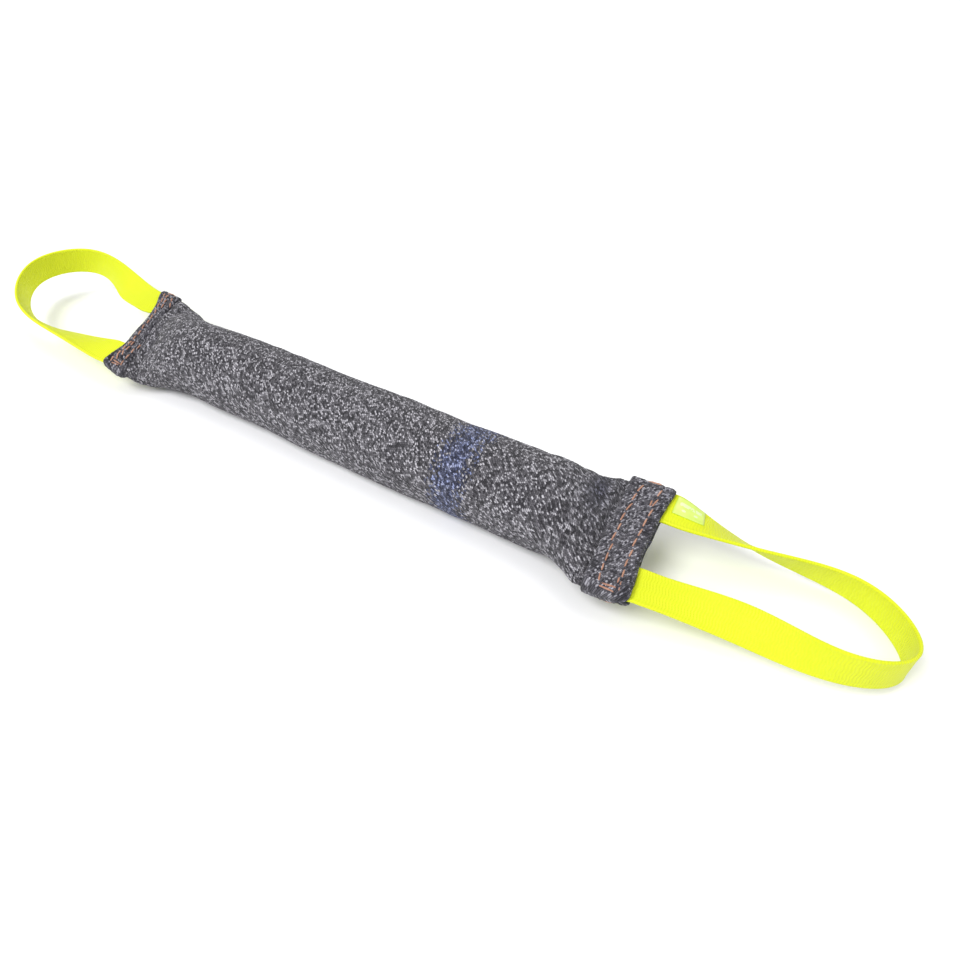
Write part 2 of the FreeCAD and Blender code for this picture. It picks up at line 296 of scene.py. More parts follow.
def sleeve_grid(rows, columns):
    """The sleeve before it is filled: flat at both ends, oval between."""
    left_start = -HALF_LENGTH + LEFT.depth * (1 - INSIDE_HEM)
    right_stop = HALF_LENGTH - RIGHT.depth * (1 - INSIDE_HEM)
    stations = np.linspace(left_start, right_stop, rows)
    grid = np.zeros((rows, columns, 3))
    for number, x in enumerate(stations):
        end = LEFT if x < 0 else RIGHT
        inward = HALF_LENGTH - abs(x)
        behind = max(inward - end.depth - BEHIND_HEM, 0.0)
        girth = 1 + GIRTH_GROWTH * x
        bow = BOW * math.exp(-((x - BOW_AT) / BOW_SPAN) ** 2)
        flat = 1 - smooth(behind, 0, FLARE_LENGTH)
        flat_middle = end.at(-inward, 0, 0)
        thin = end.thickness / 2 - SKIN
        top = flat_middle[2] + thin
        full = 2 * OVAL_HALF_HEIGHT * girth - SKIN
        top += (full - top) * quarter_wave(behind, end.top_flare, FILL_RISE)
        under = flat_middle[2] - thin
        under += (-SKIN - under) * quarter_wave(behind, end.under_flare, FILL_RISE)
        wide = FLAT_HALF_WIDTH - SKIN
        narrow = OVAL_HALF_WIDTH * girth
        near = narrow + (wide - narrow) * (1 - smooth(behind, 0, end.near_flare))
        far = narrow + (wide - SKIN / 2 - narrow) * (1 - smooth(behind, 0, end.far_flare))
        across, up = section(near, far, (top - under) / 2, 0.1 * flat, columns)
        middle = (1 - flat) * np.array([x, bow, 0]) + flat * flat_middle
        middle[2] = (top + under) / 2
        side_axis = unit((1 - flat) * np.array([0, 1.0, 0]) + flat * end.edge)
        up_axis = unit((1 - flat) * np.array([0, 0, 1.0]) + flat * end.through)
        grid[number] = middle + np.outer(across, side_axis) + np.outer(up, up_axis)
    for end in ENDS:
        grid = end.sagged(grid)
    return grid


def filled(grid):
    """The sleeve grid swelled by cloth simulation under pressure, its sewn ends pinned."""
    rows, columns = grid.shape[:2]
    trial = grid_mesh("sleeve_trial", grid)
    face_outward(trial)
    pins = trial.vertex_groups.new(name="sewn")
    held = [int(i) for i in range(rows * columns + 2)
            if i >= rows * columns or not PINNED[0] <= i // columns < rows - PINNED[1]]
    pins.add(held, 1.0, "REPLACE")
    cloth = trial.modifiers.new("fill", "CLOTH").settings
    cloth.quality = 6
    cloth.mass = 0.25
    cloth.tension_stiffness = cloth.compression_stiffness = 12
    cloth.shear_stiffness = 4
    cloth.bending_stiffness = 0.3
    cloth.use_pressure = True
    cloth.uniform_pressure_force = 3
    cloth.effector_weights.gravity = 0
    cloth.shrink_min = -0.05
    cloth.vertex_group_mass = "sewn"
    scene = bpy.context.scene
    for step in range(1, FILL_FRAMES + 1):
        scene.frame_set(step)
    solved = trial.evaluated_get(bpy.context.evaluated_depsgraph_get())
    points = np.array([v.co for v in solved.data.vertices])[:rows * columns]
    moved = points.reshape(grid.shape) - grid
    length = np.linalg.norm(moved, axis=-1, keepdims=True)
    moved *= FILL_CAP * np.tanh(length / FILL_CAP) / np.maximum(length, 1e-9)
    scene.frame_set(1)
    bpy.data.objects.remove(trial)
    return grid + moved


def make_sleeve():
    """The stuffed sleeve: filled, flattened on the floor, puckered at the ends, woven."""
    coarse = sleeve_grid(CLOTH_ROWS, CLOTH_COLUMNS)
    coarse = filled(coarse)
    fine = resampled(coarse, SLEEVE_ROWS, False)
    fine = resampled(fine.transpose(1, 0, 2), SLEEVE_COLUMNS, True).transpose(1, 0, 2)
    rows, columns = fine.shape[:2]
    normals = grid_normals(fine)
    outward = np.sign(np.sum(normals[rows // 2, columns // 4] * np.array([0, 0, 1])))
    normals = normals * outward
    along = np.broadcast_to(np.linspace(-HALF_LENGTH, HALF_LENGTH, rows)[:, None],
                            (rows, columns))
    around = np.broadcast_to(np.arange(columns) * AROUND / columns, (rows, columns))
    swell = 0.6 * MM * soft_noise(rows, columns, 13, 5)
    swell = swell + 0.22 * MM * soft_noise(rows, columns, 44, 14)
    inset = smooth(HALF_LENGTH - np.abs(along), 14 * MM, 34 * MM)
    near_end = 1 - smooth(HALF_LENGTH - np.abs(along), 20 * MM, 46 * MM)
    pleats = soft_noise(rows, columns, 5, 17) * near_end
    fine = fine + normals * (swell * (0.3 + 0.7 * inset) + PLEAT * pleats)[..., None]
    wander = [0.55 * soft_noise(rows, columns, 120, 50), 0.6 * soft_noise(rows, columns, 130, 54)]
    weave = weave_coordinates(along, around, WALE_LEAN, wander)
    relief = RELIEF * (weave_height(weave * COARSER) - 0.5)
    seam = np.minimum(around, AROUND - around)
    relief = relief - SEAM_DEPTH * np.exp(-(seam / SEAM_WIDTH) ** 2)
    fine = fine + normals * relief[..., None]
    pressed = np.maximum(FLOOR_PRESS + (fine[..., 2] - FLOOR_PRESS) * 0.2, 0.0)
    fine[..., 2] = np.where(fine[..., 2] < FLOOR_PRESS, pressed, fine[..., 2])
    # painted shade: a dark crease on the far top in front of the cuff, the pleat valleys, and the
    # lengthwise seam
    cuff_back = HALF_LENGTH - RIGHT.depth
    far_top = np.exp(-((around / AROUND - 0.13) / 0.11) ** 2)
    fold_shade = np.exp(-((along - cuff_back + 2 * MM) / (5 * MM)) ** 2) * far_top
    shade = 0.8 * fold_shade + 0.25 * np.clip(-pleats, 0, 1)
    shade = shade + 0.6 * np.exp(-(seam / SEAM_SHADE) ** 2) * inset
    sleeve = grid_mesh("stuffed_sleeve", fine, weave=weave, shade=shade)
    face_outward(sleeve)
    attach(sleeve, "sleeve")
    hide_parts("outer_sleeve", "stuffing_core", "seam_allowance", "lengthwise_seam_thread")
    return sleeve


# ---------------------------------------------------------------- hem and cuff
HEM_COLUMNS = 130                      # along the end edge
CREASE = 2.4 * MM                      # depth of the mouth between the two plies
OUTLINE_STEP = 0.55 * MM
GROOVE, GROOVE_WIDTH = 0.5 * MM, 0.9 * MM    # pressed in by a stitch row
STRAP_PUFF, STRAP_SPAN = 0.45 * MM, 6.5 * MM
HEM_LUMPS = 0.35 * MM
HEM_RELIEF = 0.22 * MM
COLUMN_CROWDING = 0.86                 # columns stand closer together at the two corners


def hem_outline(depth, half, crease, tuck):
    """Half of a hem's section, (outward, through), from the inner edge round to the crease."""
    lip = min(half * 0.62, 2.8 * MM)
    inner = [(-depth + 1.2 * MM * (1 - math.cos(a)), half - tuck - 1.6 * MM * (1 - math.sin(a)))
             for a in np.linspace(-0.2, math.pi / 2, 7)]
    flat = [(o, half - tuck * (1 - smooth((o + depth) / (5 * MM), 0, 1)))
            for o in np.linspace(-depth + 1.8 * MM, -lip, 40)]
    round_lip = [(-lip + lip * math.cos(a), half * 0.5 + half * 0.5 * math.sin(a))
                 for a in np.linspace(math.pi / 2, -math.pi * 0.3, 16)[1:]]
    end_o, end_z = round_lip[-1]
    closing = [(end_o + (-crease - end_o) * s, end_z * (1 - s)) for s in (0.5, 1.0)]
    return np.array(inner + flat + round_lip + closing)


def even_path(path, count):
    """count points evenly spaced along a polyline."""
    run = np.concatenate([[0], np.cumsum(np.linalg.norm(np.diff(path, axis=0), axis=1))])
    even = np.linspace(0, run[-1], count)
    return np.stack([np.interp(even, run, path[:, axis]) for axis in range(path.shape[1])], -1)


def make_hem(end, name, node):
    """A folded band of cloth round a flat end, with the mouth that the webbing comes out of."""
    half = end.thickness / 2
    tuck = 0.1 * MM if end is LEFT else -0.35 * MM
    steps = int(1.05 * end.depth / OUTLINE_STEP) + 26
    top = even_path(hem_outline(end.depth, half, CREASE, tuck), steps)
    bottom = top[::-1][1:] * np.array([1, -1])
    outline = np.concatenate([top, bottom])
    count = len(outline)
    crowding = math.pi / 2 * COLUMN_CROWDING
    spread = np.sin(np.linspace(-1, 1, HEM_COLUMNS) * crowding) / math.sin(crowding)
    across = spread * FLAT_HALF_WIDTH
    side_radius = half * (1.1 if end is LEFT else 0.75)
    into = np.clip((np.abs(across) - FLAT_HALF_WIDTH + side_radius) / side_radius, 0, 1)
    thin = np.sqrt(np.clip(1 - into ** 2, 0.0004, 1))
    outward = outline[None, :, 0] + 0 * across[:, None]
    through = outline[None, :, 1] * thin[:, None]
    ahead = smooth(outline[:, 0], -end.depth, -end.depth * 0.35)[None]
    outward = outward + end.edge_offset(across)[:, None] * ahead
    over_strap = np.exp(-((np.abs(across) - STRAP_CENTRE) / STRAP_SPAN) ** 4)
    face = np.clip(np.abs(outline[:, 1]) / half, 0, 1)[None] ** 2
    grooves = sum(np.exp(-((outward + row) / GROOVE_WIDTH) ** 2) for row in end.rows)
    puff = STRAP_PUFF * over_strap[:, None] - GROOVE * grooves
    puff = puff + HEM_LUMPS * soft_noise(HEM_COLUMNS, count, 14, 16)
    through = through + np.sign(through) * puff * face * thin[:, None]
    outward = outward + HEM_LUMPS * soft_noise(HEM_COLUMNS, count, 16, 3) * ahead
    if end is RIGHT:
        through = through * (1 + 0.25 * smooth(-across, 12 * MM, 27 * MM))[:, None]
    points = end.sagged(end.at(outward, across[:, None] + 0 * outward, through))
    normals = grid_normals(points)
    outer = np.sign(np.sum(normals[HEM_COLUMNS // 2, len(top) // 2] * end.through))
    normals = normals * outer
    run = np.concatenate([[0], np.cumsum(np.linalg.norm(np.diff(outline, axis=0), axis=1))])
    along = np.broadcast_to(run[None], (HEM_COLUMNS, count))
    sideways = np.broadcast_to(across[:, None], (HEM_COLUMNS, count))
    wander = [0.4 * soft_noise(HEM_COLUMNS, count, 26, 30) for _ in range(2)]
    weave = weave_coordinates(along, sideways, HEM_LEAN, wander)
    relief = HEM_RELIEF * (weave_height(weave * COARSER) - 0.5) * face
    points = points + normals * relief[..., None]
    ragged = 1.2 * MM * soft_noise(HEM_COLUMNS, count, 30, 20)
    strip = end.strip * (0.6 + 0.4 * (face > 0)) * smooth(outward + ragged, -6.5 * MM, -4.5 * MM)
    # painted shade in the mouth between the two plies, darkest at the crease and only towards the end
    # edge
    mouth = smooth(-np.abs(outline[None, :, 1]) + 0 * outward, -half * 0.75, -half * 0.2)
    shade = np.clip(strip + mouth * smooth(outward, -end.depth * 0.6, -end.depth * 0.3), 0, 1)
    hem = grid_mesh(name, points, weave=weave, shade=shade)
    face_outward(hem)
    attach(hem, "sleeve")
    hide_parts(node)
    return hem


# ---------------------------------------------------------------- webbing handles
LOOPS = {
    "right": {"lead": 13, "near_exit": (0.18, 0.26), "far_exit": (0.05, 0.24), "reach": 110,
              "points": [(0.37, -9, 4.2), (0.72, -22, 12), (1.0, 6, 1.0), (0.72, 40, -0.2),
                         (0.34, 28, 4.6)],
              "lie": [5, 86, 100, 78, 26]},
    "left": {"lead": 13, "near_exit": (0.2, 0.1), "far_exit": (0.42, 0.14), "reach": 101,
             "points": [(0.34, -16, 5), (0.72, -21, 6), (1.0, 10, 15), (0.75, 44, 15),
                        (0.37, 29, 12.5)],
             "lie": [15, 44, 115, 88, 10]},
}
WEBBING_STEP = 0.42 * MM
RIB_PITCH = 1.26 * MM
SELVEDGE_PITCH = 0.9 * MM
ZIGZAG_WIDTH = 2.6 * MM                # one leg of the ribs' zigzag across the webbing
RIB_HEIGHT = 0.08 * MM
SQUARING = 0.022                       # share of the loop over which a strap turns square
TAIL_STEPS = 39
TAIL_GAP = 2 * MM                      # a tail stops this short of the hem's inner edge
SOFTENING = 9                          # steps each way that the webbing's bends are evened over


def spline(poles, at):
    """A clamped uniform cubic B-spline's points at values from 0 to 1."""
    poles = np.array(poles, float)
    spans = len(poles) - 3
    knots = np.concatenate([[0] * 3, np.linspace(0, 1, spans + 1), [1] * 3])
    at = np.clip(at, 0, 1 - 1e-9)
    basis = ((at[:, None] >= knots[:-1]) & (at[:, None] < knots[1:])).astype(float)
    for degree in (1, 2, 3):
        count = len(knots) - 1 - degree
        rise = knots[degree:degree + count] - knots[:count]
        fall = knots[degree + 1:degree + 1 + count] - knots[1:count + 1]
        up = np.where(rise > 0, (at[:, None] - knots[:count]) / np.where(rise > 0, rise, 1), 0)
        down = np.where(fall > 0, (knots[degree + 1:degree + 1 + count] - at[:, None])
                        / np.where(fall > 0, fall, 1), 0)
        basis = up * basis[:, :count] + down * basis[:, 1:count + 1]
    return basis @ poles


def strap_frames(end):
    """Centre and width direction of the webbing, evenly spaced from tail to tail."""
    loop = LOOPS[end.key]
    outward = end.along * end.side
    up = np.array([0, 0, 1.0])
    exits = []
    for sign, (yaw, drop) in ((-1, loop["near_exit"]), (1, loop["far_exit"])):
        first = end.hinge + end.edge * sign * STRAP_CENTRE
        exits.append((first, first + (outward + end.edge * yaw - up * drop) * loop["lead"] * MM))
    middle = [np.array([end.hinge[0] + end.side * share * loop["reach"] * MM, across * MM,
                        WEBBING_WIDTH / 2 + lift * MM]) for share, across, lift in loop["points"]]
    at = np.linspace(0, 1, 1601)
    centre = spline([*exits[0], *middle, *exits[1][::-1]], at)
    roll = end.side * END_ROLL
    lie = np.radians(spline(np.array([roll] + loop["lie"] + [-roll])[:, None], at)[:, 0])
    tangent = unit(np.gradient(centre, axis=0))
    level = unit(np.cross(up, tangent))
    upright = np.cross(tangent, level)
    width = level * np.cos(lie)[:, None] + upright * np.sin(lie)[:, None]
    square = np.exp(-np.minimum(at, 1 - at) / SQUARING)[:, None]
    target = np.where((at < 0.5)[:, None], end.edge * end.side, end.edge * -end.side)
    width = unit(width * (1 - square) + target * square)
    tail = end.depth - TAIL_GAP
    inside = np.linspace(tail, 0, TAIL_STEPS + 1)[:-1]
    near_tail = exits[0][0] - outward * inside[:, None]
    far_tail = (exits[1][0] - outward * inside[:, None])[::-1]
    centre = np.concatenate([near_tail, centre, far_tail])
    width = np.concatenate([np.repeat(end.edge[None] * end.side, TAIL_STEPS, 0), width,
                            np.repeat(end.edge[None] * -end.side, TAIL_STEPS, 0)])
    run = np.concatenate([[0], np.cumsum(np.linalg.norm(np.diff(centre, axis=0), axis=1))])
    even = np.linspace(0, run[-1], int(run[-1] / WEBBING_STEP))
    centre = np.stack([np.interp(even, run, centre[:, axis]) for axis in range(3)], -1)
    width = np.stack([np.interp(even, run, width[:, axis]) for axis in range(3)], -1)
    kernel = np.exp(-(np.arange(-SOFTENING, SOFTENING + 1) / (SOFTENING / 2)) ** 2)
    kernel /= kernel.sum()
    padded = np.pad(centre, ((SOFTENING, SOFTENING), (0, 0)), mode="reflect", reflect_type="odd")
    centre = np.stack([np.convolve(padded[:, axis], kernel, "valid") for axis in range(3)], -1)
    padded = np.pad(width, ((SOFTENING, SOFTENING), (0, 0)), mode="edge")
    width = unit(np.stack([np.convolve(padded[:, axis], kernel, "valid") for axis in range(3)], -1))
    tangent = unit(np.gradient(centre, axis=0))
    width = unit(width - tangent * np.sum(width * tangent, axis=1, keepdims=True))
    return centre, width, np.cross(tangent, width), even


def strap_outline(half_width, half_thickness, across_count):
    """Closed section (across, through) of webbing, its selvedges rounded and a little fuller."""
    flat = np.linspace(-1, 1, across_count)
    fuller = 1 + 0.22 * smooth(np.abs(flat), 0.86, 0.94)
    turn = np.linspace(math.pi / 2, -math.pi / 2, 7)[1:-1]
    inner = half_width - half_thickness
    top = np.stack([flat * inner, half_thickness * fuller], -1)
    cap = np.stack([inner + half_thickness * np.cos(turn), 1.22 * half_thickness * np.sin(turn)], -1)
    return np.concatenate([top, cap, -top, -cap])


def make_strap(end):
    """One length of webbing, from tail to tail, with its ribs and selvedges."""
    centre, width, through, run = strap_frames(end)
    outline = strap_outline(WEBBING_WIDTH / 2, WEBBING_THICKNESS / 2 * 0.86, 44)
    inner = smooth(WEBBING_WIDTH / 2 * 0.9 - np.abs(outline[:, 0]), 0, 0.4 * MM)
    columns = len(outline)
    zigzag = np.abs((outline[:, 0] / ZIGZAG_WIDTH) % 2 - 1)
    phase = run[:, None] / RIB_PITCH + 0.5 * zigzag[None]
    rib = 0.5 + 0.5 * np.cos(2 * math.pi * phase)
    edge_phase = run[:, None] / SELVEDGE_PITCH
    edge_rib = 0.5 + 0.5 * np.cos(2 * math.pi * edge_phase)
    height = RIB_HEIGHT * (rib * inner[None] + 0.6 * edge_rib * (1 - inner[None]))
    through_out = outline[None, :, 1] + np.sign(outline[None, :, 1]) * height
    across_out = np.broadcast_to(outline[None, :, 0], (len(run), columns))
    points = end.sagged(centre[:, None] + width[:, None] * across_out[..., None]
                        + through[:, None] * through_out[..., None])
    weave = np.stack(np.broadcast_arrays(run[:, None] / RIB_PITCH,
                                         outline[None, :, 0] / ZIGZAG_WIDTH), -1)
    strap = grid_mesh(f"{end.key}_handle_strap", points, weave=weave)
    face_outward(strap)
    end.at(-0.5 * MM, 0, 0)
    end.at(9 * MM, 0, 0)
    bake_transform(strap)
    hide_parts(f"{end.key}_handle_webbing", f"{end.key}_handle_near_tail",
                f"{end.key}_handle_far_tail")
    return strap, (centre, width, through, run)


TAG_LENGTH, TAG_HALF_WIDTH = 14 * MM, 4.5 * MM
TAG_THICKNESS = 0.38 * MM
TAG_INSET = 1 * MM                     # from the webbing's selvedge
TAG_START = 13.5 * MM                  # back from where the webbing enters the cuff


def make_label(end, frames):
    """A small plain tag on the far strap of the right handle, just beyond the cuff."""
    centre, width, through, run = frames
    start = run[-1] - (end.depth - TAIL_GAP) - TAG_START
    stop = start + TAG_LENGTH
    chosen = np.nonzero((run >= start) & (run <= stop))[0][::2]
    middle = -WEBBING_WIDTH / 2 + TAG_INSET + TAG_HALF_WIDTH
    flat = np.linspace(-1, 1, 22)
    lift = WEBBING_THICKNESS / 2 * 1.06
    columns = []
    for share, height in [(v, lift + TAG_THICKNESS) for v in flat] + [(v, lift) for v in flat[::-1]]:
        across = middle + share * TAG_HALF_WIDTH
        columns.append(centre[chosen] + width[chosen] * across + through[chosen] * height)
    points = np.stack(columns, axis=1)
    place = np.linspace(0, 1, len(chosen))[:, None] + 0 * points[..., 0]
    side = np.concatenate([flat, flat[::-1]])[None] + 0 * points[..., 0]
    label = grid_mesh("size_tag", points, weave=np.stack([place, side], -1))
    face_outward(label)
    end.at(-0.5 * MM, 0, 0)
    end.at(9 * MM, 0, 0)
    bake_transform(label)
    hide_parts("size_label")
    return label


# ---------------------------------------------------------------- thread
THREAD_RADIUS = 0.34 * MM
STITCH_GAP = 0.75 * MM
STITCH_LIFT = 0.2 * MM
STITCH_DIP = 0.55 * MM                 # how far a stitch's ends go into the cloth
THREAD_SIDES = 8


def stitch_shape(length, radius):
    """Rings of one stitch lying along X: a twisted two-ply thread, its ends dipping down."""
    steps = np.linspace(-1, 1, 15)
    angles = np.arange(THREAD_SIDES) * 2 * math.pi / THREAD_SIDES
    rings = []
    for step in steps:
        size = radius * (1 - abs(step) ** 5) ** 0.5 + 0.02 * MM
        twist = step * 3.4
        lobes = 1 + 0.16 * np.cos(2 * (angles - twist))
        dip = -STITCH_DIP * abs(step) ** 3
        rings.append(np.stack([np.full(THREAD_SIDES, step * length / 2), size * lobes * np.cos(angles),
                               size * lobes * np.sin(angles) + dip], -1))
    return np.array(rings)


def stitches(name, spots, node):
    """One piece made of many stitches. spots are (centre, direction, up, length)."""
    points, faces, start = [], [], 0
    for centre, direction, up, length in spots:
        rings = stitch_shape(length, THREAD_RADIUS)
        side = np.cross(up, direction)
        placed = (centre + rings[..., :1] * direction + rings[..., 1:2] * side + rings[..., 2:] * up)
        rows, columns = placed.shape[:2]
        points.extend(placed.reshape(-1, 3).tolist())
        for row in range(rows - 1):
            for column in range(columns):
                beside = (column + 1) % columns
                here, after = start + row * columns, start + (row + 1) * columns
                faces.append([here + column, here + beside, after + beside, after + column])
        faces.append([start + column for column in reversed(range(columns))])
        faces.append([start + (rows - 1) * columns + column for column in range(columns)])
        start += rows * columns
    mesh = bpy.data.meshes.new(name)
    mesh.from_pydata(points, [], faces)
    mesh.update()
    mesh.shade_smooth()
    piece = bpy.data.objects.new(name, mesh)
    bpy.context.scene.collection.objects.link(piece)
    face_outward(piece)
    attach(piece, "sleeve")
    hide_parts(node)
    return piece


def on_surface(tree, end, outward, across, face):
    """The point and normal of a hem where a line through it meets its upper or lower face."""
    start = Vector(end.at(outward, across, face * 20 * MM))
    hit, normal, _, _ = tree.ray_cast(start, Vector(end.through * -face))
    if hit is None:
        return None, None
    normal = np.array(normal)
    return np.array(hit), normal * np.sign(np.dot(normal, end.through * face))


def stitch_between(tree, end, first, second, face):
    """A stitch lying on the hem between two (outward, across) places."""
    ends = [on_surface(tree, end, outward, across, face) for outward, across in (first, second)]
    if any(point is None for point, _ in ends):
        return None
    (a, up_a), (b, up_b) = ends
    up = unit(up_a + up_b + 1.5 * end.through * face)
    direction = unit(b - a)
    up = unit(up - direction * np.dot(up, direction))
    return (a + b) / 2 + up * STITCH_LIFT, direction, up, float(np.linalg.norm(b - a))


ROW_START, ROW_STOP = 1.4 * MM, 4.6 * MM     # in from the near and the far corner
EDGE_FOLLOW = 0.9                      # how closely the stitching follows the curved end edge
TACK_EDGE = WEBBING_WIDTH / 2 - 0.6 * MM
TACK_SPACING = 1.35 * MM
TACK_OVERRUN = 0.7 * MM
BACK_STITCH, BACK_PITCH, BACK_INSET = 3.1 * MM, 3.6 * MM, 1.5 * MM
BACK_STITCHES = {"left": 4, "right": 1}   # over each strap, beside the outer row


def make_rows(end, hem):
    """The two stitch rows and the two tacks of an end, on both faces."""
    tree = BVHTree.FromObject(hem, bpy.context.evaluated_depsgraph_get())
    pieces = []
    for label, row in zip(("outer", "inner"), end.rows):
        spots = []
        for face in (1, -1):
            across = -FLAT_HALF_WIDTH + ROW_START
            while across < FLAT_HALF_WIDTH - ROW_STOP:
                length = (end.stitch + 0.6 * RANDOM.uniform(-1, 1)) * MM
                sway = 0.45 * MM * RANDOM.uniform(-1, 1, 2)
                ahead = across + length
                first = (end.edge_offset(across) * EDGE_FOLLOW - row + sway[0], across)
                second = (end.edge_offset(ahead) * EDGE_FOLLOW - row + sway[1] + 0.3 * MM, ahead)
                spot = stitch_between(tree, end, first, second, face)
                if spot:
                    spots.append(spot)
                across += length + STITCH_GAP
        pieces.append(stitches(f"{end.key}_{label}_stitches", spots, f"{end.key}_{label}_stitch_row"))
    outer, inner = end.rows
    for strap, sign in (("near", -1), ("far", 1)):
        spots = []
        for face in (1, -1):
            for twin in (-0.5, 0.5):
                across = sign * (STRAP_CENTRE + TACK_EDGE) + twin * TACK_SPACING
                sway = 0.5 * MM * RANDOM.uniform(-1, 1, 2)
                offset = end.edge_offset(across) * EDGE_FOLLOW
                first = (offset - outer - TACK_OVERRUN, across + sway[0])
                second = (offset - inner + TACK_OVERRUN, across + sway[1])
                spot = stitch_between(tree, end, first, second, face)
                if spot:
                    spots.append(spot)
            for number in range(BACK_STITCHES[end.key]):
                across = sign * STRAP_CENTRE + (number - 1.5) * BACK_PITCH
                sway = 0.5 * MM * RANDOM.uniform(-1, 1, 2)
                inset = end.edge_offset(across) * EDGE_FOLLOW - outer - BACK_INSET
                spot = stitch_between(tree, end, (inset + sway[0], across),
                                      (inset + sway[1], across + BACK_STITCH), face)
                if spot:
                    spots.append(spot)
        pieces.append(stitches(f"{end.key}_{strap}_tack", spots, f"{end.key}_{strap}_bar_tack"))
    return pieces


# ---------------------------------------------------------------- materials
class Nodes:
    """A short way to build a material's nodes."""

    def __init__(self, name):
        self.material = bpy.data.materials.new(name)
        self.material.use_nodes = True
        self.tree = self.material.node_tree
        self.shader = self.tree.nodes["Principled BSDF"]

    def put(self, socket, value):
        """Sets a socket to a number, a colour or another node's output."""
        if isinstance(value, bpy.types.NodeSocket):
            self.tree.links.new(value, socket)
        elif isinstance(value, tuple) and socket.type == "RGBA":
            socket.default_value = (*value, 1.0)
        else:
            socket.default_value = value

    def add(self, kind, **settings):
        node = self.tree.nodes.new(f"ShaderNode{kind}")
        for key, value in settings.items():
            setattr(node, key, value)
        return node

    def math(self, operation, *values):
        node = self.add("Math", operation=operation)
        for socket, value in zip(node.inputs, values):
            self.put(socket, value)
        return node.outputs[0]

    def mix(self, share, first, second, blend_type="MIX"):
        node = self.add("Mix", data_type="RGBA", blend_type=blend_type)
        self.put(node.inputs["Factor"], share)
        self.put(node.inputs[6], first)
        self.put(node.inputs[7], second)
        return node.outputs[2]

    def ramp(self, value, stops):
        node = self.add("ValToRGB")
        self.put(node.inputs[0], value)
        elements = node.color_ramp.elements
        while len(elements) < len(stops):
            elements.new(0.5)
        for element, (position, colour) in zip(elements, stops):
            element.position = position
            element.color = (*colour, 1.0)
        return node.outputs[0]

    def noise(self, vector, scale, detail=2.0, roughness=0.5):
        node = self.add("TexNoise")
        self.put(node.inputs["Vector"], vector)
        self.put(node.inputs["Scale"], float(scale))
        self.put(node.inputs["Detail"], detail)
        self.put(node.inputs["Roughness"], roughness)
        return node.outputs[0]

    def bump(self, height, distance, strength=1.0):
        node = self.add("Bump")
        self.put(node.inputs["Height"], height)
        self.put(node.inputs["Distance"], distance)
        self.put(node.inputs["Strength"], strength)
        self.tree.links.new(node.outputs[0], self.shader.inputs["Normal"])

    def object_place(self):
        return self.add("TexCoord").outputs["Object"]

    def uv(self):
        """The weave coordinates as two separate values."""
        node = self.add("UVMap", uv_map="weave")
        split = self.add("SeparateXYZ")
        self.tree.links.new(node.outputs[0], split.inputs[0])
        return split.outputs[0], split.outputs[1]

    def arc(self, value, power):
        """The distance of a value from the middle of its cell, to that power."""
        centred = self.math("ABSOLUTE", self.math("MULTIPLY_ADD", value, 2.0, -1.0))
        return self.math("POWER", centred, power)

    def finish(self, piece):
        piece.data.materials.clear()
        piece.data.materials.append(self.material)


BAND_TINT, BAND_LIFT = (0.56, 0.67, 1.04), (0.0, 0.002, 0.016)
# the colour that painted shade multiplies into the cloth
SHADE_TINT = (0.26, 0.27, 0.38)
# painted shade in the gaps between the yarn floats
GAP_SHADE = (0.25, 0.25, 0.28)
WHITE = (1.0, 1.0, 1.0)


